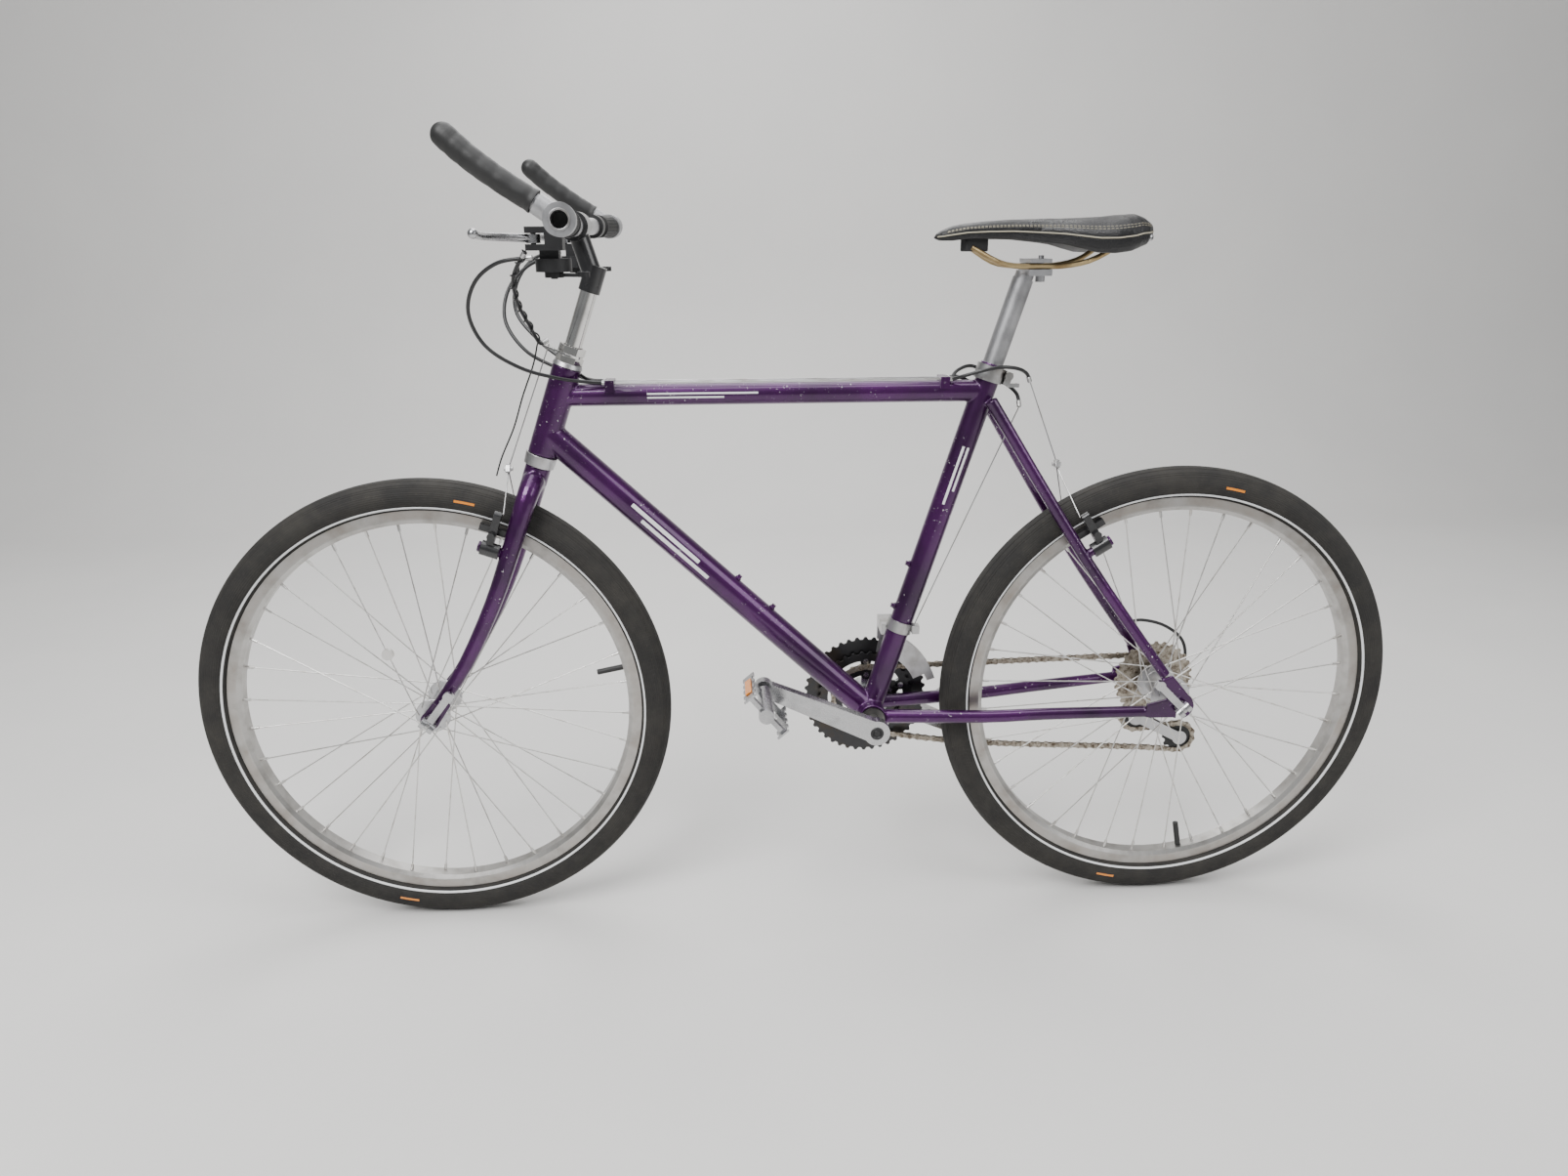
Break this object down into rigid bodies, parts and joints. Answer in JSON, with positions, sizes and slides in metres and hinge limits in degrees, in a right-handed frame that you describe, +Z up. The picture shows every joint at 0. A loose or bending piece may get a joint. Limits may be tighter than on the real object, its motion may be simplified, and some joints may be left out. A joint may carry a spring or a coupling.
{
  "type": "mountain bicycle",
  "caption": "Single-seat mountain bicycle with a diamond frame, cantilever brakes, triple chainset, slick tyres and raised bar ends.",
  "frame": {"origin": "on the ground plane, midway between the two axles and in the frame's centre plane", "axes": "+X forward, the way the bicycle travels; +Y to the rider's left; +Z up"},
  "size_m": [1.6938, 0.5676, 1.067],
  "materials": {
    "purple_paint": "deep metallic gloss with small chips",
    "satin_alloy": "satin, lightly scuffed",
    "polished_alloy": "polished, scratched",
    "chrome": "bright chrome",
    "black_metal": "gloss black, worn edges",
    "black_rubber": "matt, scuffed",
    "tyre_rubber": "dusty slick tread with a reflective side stripe",
    "black_plastic": "fine moulded grain",
    "saddle_leather": "grained, glossy where worn",
    "brass_rail": "satin, tarnished",
    "steel": "satin",
    "spoke_steel": "satin stainless",
    "dirty_steel": "oily brown film"
  },
  "bodies": {
    "frame": {"head_tube": "purple_paint", "top_tube": "purple_paint", "down_tube": "purple_paint", "seat_tube": "purple_paint", "bottom_bracket_shell": "purple_paint", "chainstays": "purple_paint", "seatstays": "purple_paint", "headset_cups": "satin_alloy", "bottom_bracket_cups": "black_metal", "frame_fittings": "purple_paint", "seat_binder": "steel", "front_derailleur_body": "steel", "rear_axle": "steel", "frame_cables": "black_plastic", "rear_derailleur_knuckle": "steel", "chain": "dirty_steel"},
    "seat": {"seat_post": "satin_alloy", "saddle_rails": "brass_rail", "saddle": "saddle_leather"},
    "steering": {"fork": "purple_paint", "headset_locknuts": "chrome", "stem": "black_metal", "handlebar": "satin_alloy", "grips": "black_rubber", "bar_ends": "satin_alloy", "control_brackets": "black_metal", "front_axle": "steel", "bar_cables": "black_plastic", "front_brake_cable": "black_plastic"},
    "brake_lever_left": {"brake_lever_left": "polished_alloy"},
    "brake_lever_right": {"brake_lever_right": "polished_alloy"},
    "shift_lever_left": {"shift_lever_left": "black_plastic"},
    "shift_lever_right": {"shift_lever_right": "black_plastic"},
    "front_brake_arm_left": {"front_brake_arm_left": "black_metal"},
    "front_brake_arm_right": {"front_brake_arm_right": "black_metal"},
    "rear_brake_arm_left": {"rear_brake_arm_left": "black_metal"},
    "rear_brake_arm_right": {"rear_brake_arm_right": "black_metal"},
    "front_qr_lever": {"front_qr_lever": "polished_alloy"},
    "rear_qr_lever": {"rear_qr_lever": "polished_alloy"},
    "front_wheel": {"front_tyre": "tyre_rubber", "front_inner_tube": "black_rubber", "front_rim": "satin_alloy", "front_spokes": "spoke_steel", "front_hub": "satin_alloy"},
    "rear_wheel": {"rear_tyre": "tyre_rubber", "rear_inner_tube": "black_rubber", "rear_rim": "satin_alloy", "rear_spokes": "spoke_steel", "rear_hub": "satin_alloy"},
    "cassette": {"cassette": "dirty_steel"},
    "crankset": {"bottom_bracket_spindle": "steel", "crank_arms": "polished_alloy", "chainrings": "black_metal"},
    "pedal_left": {"pedal_left": "satin_alloy"},
    "pedal_right": {"pedal_right": "satin_alloy"},
    "rear_derailleur": {"rear_derailleur_body": "polished_alloy"},
    "rear_derailleur_cage": {"rear_derailleur_cage": "polished_alloy"},
    "guide_pulley": {"guide_pulley": "black_plastic"},
    "tension_pulley": {"tension_pulley": "black_plastic"},
    "front_derailleur_cage": {"front_derailleur_cage": "steel"}
  },
  "joints": [
    {"name": "steer", "type": "hinge", "parent": "frame", "child": "steering", "pos_m": [0.33208, 0, 0.73784], "axis": [-0.3338, 0, 0.9426], "range_deg": [-70, 70], "deforming": ["bar_cables"]},
    {"name": "seat_height", "type": "slide", "parent": "frame", "child": "seat", "axis": [-0.3007, 0, 0.9537], "range_m": [0, 0.05]},
    {"name": "front_wheel_spin", "type": "hinge", "parent": "steering", "child": "front_wheel", "pos_m": [0.52, 0, 0.327], "axis": [0, 1, 0], "continuous": true},
    {"name": "rear_wheel_spin", "type": "hinge", "parent": "frame", "child": "rear_wheel", "pos_m": [-0.52, 0, 0.327], "axis": [0, 1, 0], "continuous": true},
    {"name": "crank_spin", "type": "hinge", "parent": "frame", "child": "crankset", "pos_m": [-0.092, 0, 0.303], "axis": [0, 1, 0], "continuous": true},
    {"name": "cassette_spin", "type": "hinge", "parent": "frame", "child": "cassette", "pos_m": [-0.52, 0, 0.327], "axis": [0, 1, 0], "continuous": true},
    {"name": "pedal_left_spin", "type": "hinge", "parent": "crankset", "child": "pedal_left", "pos_m": [0.0633, 0.12, 0.37215], "axis": [0, 1, 0], "continuous": true},
    {"name": "pedal_right_spin", "type": "hinge", "parent": "crankset", "child": "pedal_right", "pos_m": [-0.2473, -0.12, 0.23386], "axis": [0, 1, 0], "continuous": true},
    {"name": "brake_lever_left_pull", "type": "hinge", "parent": "steering", "child": "brake_lever_left", "pos_m": [0.322, 0.134, 0.955], "axis": [0, 0, 1], "range_deg": [0, 22], "stiffness_Nm_per_rad": 0.4, "springref_deg": -5.73, "deforming": ["front_brake_cable"]},
    {"name": "brake_lever_right_pull", "type": "hinge", "parent": "steering", "child": "brake_lever_right", "pos_m": [0.322, -0.134, 0.955], "axis": [0, 0, -1], "range_deg": [0, 22], "stiffness_Nm_per_rad": 0.4, "springref_deg": -5.73, "deforming": ["frame_cables"]},
    {"name": "front_left_arm_pivot", "type": "hinge", "parent": "steering", "child": "front_brake_arm_left", "pos_m": [0.39617, 0.045, 0.55685], "axis": [0.9426, 0, 0.3338], "range_deg": [0, 4.4]},
    {"name": "front_right_arm_pivot", "type": "hinge", "parent": "steering", "child": "front_brake_arm_right", "pos_m": [0.39617, -0.045, 0.55685], "axis": [-0.9426, 0, -0.3338], "range_deg": [0, 4.4]},
    {"name": "rear_left_arm_pivot", "type": "hinge", "parent": "frame", "child": "rear_brake_arm_left", "pos_m": [-0.375, 0.045, 0.54], "axis": [0.8434, 0, -0.5373], "range_deg": [0, 4.4]},
    {"name": "rear_right_arm_pivot", "type": "hinge", "parent": "frame", "child": "rear_brake_arm_right", "pos_m": [-0.375, -0.045, 0.54], "axis": [-0.8434, 0, 0.5373], "range_deg": [0, 4.4]},
    {"name": "shift_lever_left_push", "type": "hinge", "parent": "steering", "child": "shift_lever_left", "pos_m": [0.304, 0.112, 0.926], "axis": [0, 0, 1], "range_deg": [0, 30]},
    {"name": "shift_lever_right_push", "type": "hinge", "parent": "steering", "child": "shift_lever_right", "pos_m": [0.304, -0.112, 0.926], "axis": [0, 0, -1], "range_deg": [0, 30]},
    {"name": "front_qr_open", "type": "hinge", "parent": "steering", "child": "front_qr_lever", "pos_m": [0.52, 0.069, 0.327], "axis": [-0.788, 0, -0.6157], "range_deg": [0, 120]},
    {"name": "rear_qr_open", "type": "hinge", "parent": "frame", "child": "rear_qr_lever", "pos_m": [-0.52, 0.0835, 0.327], "axis": [-0.7071, 0, 0.7071], "range_deg": [0, 120]},
    {"name": "rear_shift", "type": "slide", "parent": "frame", "child": "rear_derailleur", "axis": [0, 0.8944, -0.4472], "range_m": [0, 0.0335], "deforming": ["chain", "frame_cables"]},
    {"name": "rear_cage_swing", "type": "hinge", "parent": "rear_derailleur", "child": "rear_derailleur_cage", "pos_m": [-0.511, -0.0615, 0.254], "axis": [0, -1, 0], "range_deg": [0, 80], "stiffness_Nm_per_rad": 0.3, "springref_deg": -17.19, "deforming": ["chain"]},
    {"name": "guide_pulley_spin", "type": "hinge", "parent": "rear_derailleur_cage", "child": "guide_pulley", "pos_m": [-0.511, -0.0615, 0.254], "axis": [0, 1, 0], "continuous": true},
    {"name": "tension_pulley_spin", "type": "hinge", "parent": "rear_derailleur_cage", "child": "tension_pulley", "pos_m": [-0.581, -0.0615, 0.2175], "axis": [0, 1, 0], "continuous": true},
    {"name": "front_shift", "type": "slide", "parent": "frame", "child": "front_derailleur_cage", "axis": [0, -1, 0], "range_m": [0, 0.012]}
  ],
  "couplings": [
    {"joint": "cassette_spin", "follows": "crank_spin", "ratio": 1.8462},
    {"joint": "guide_pulley_spin", "follows": "crank_spin", "ratio": -2.1818},
    {"joint": "tension_pulley_spin", "follows": "crank_spin", "ratio": 2.1818},
    {"joint": "front_left_arm_pivot", "follows": "brake_lever_left_pull", "ratio": 0.2},
    {"joint": "front_right_arm_pivot", "follows": "brake_lever_left_pull", "ratio": 0.2},
    {"joint": "rear_left_arm_pivot", "follows": "brake_lever_right_pull", "ratio": 0.2},
    {"joint": "rear_right_arm_pivot", "follows": "brake_lever_right_pull", "ratio": 0.2}
  ]
}
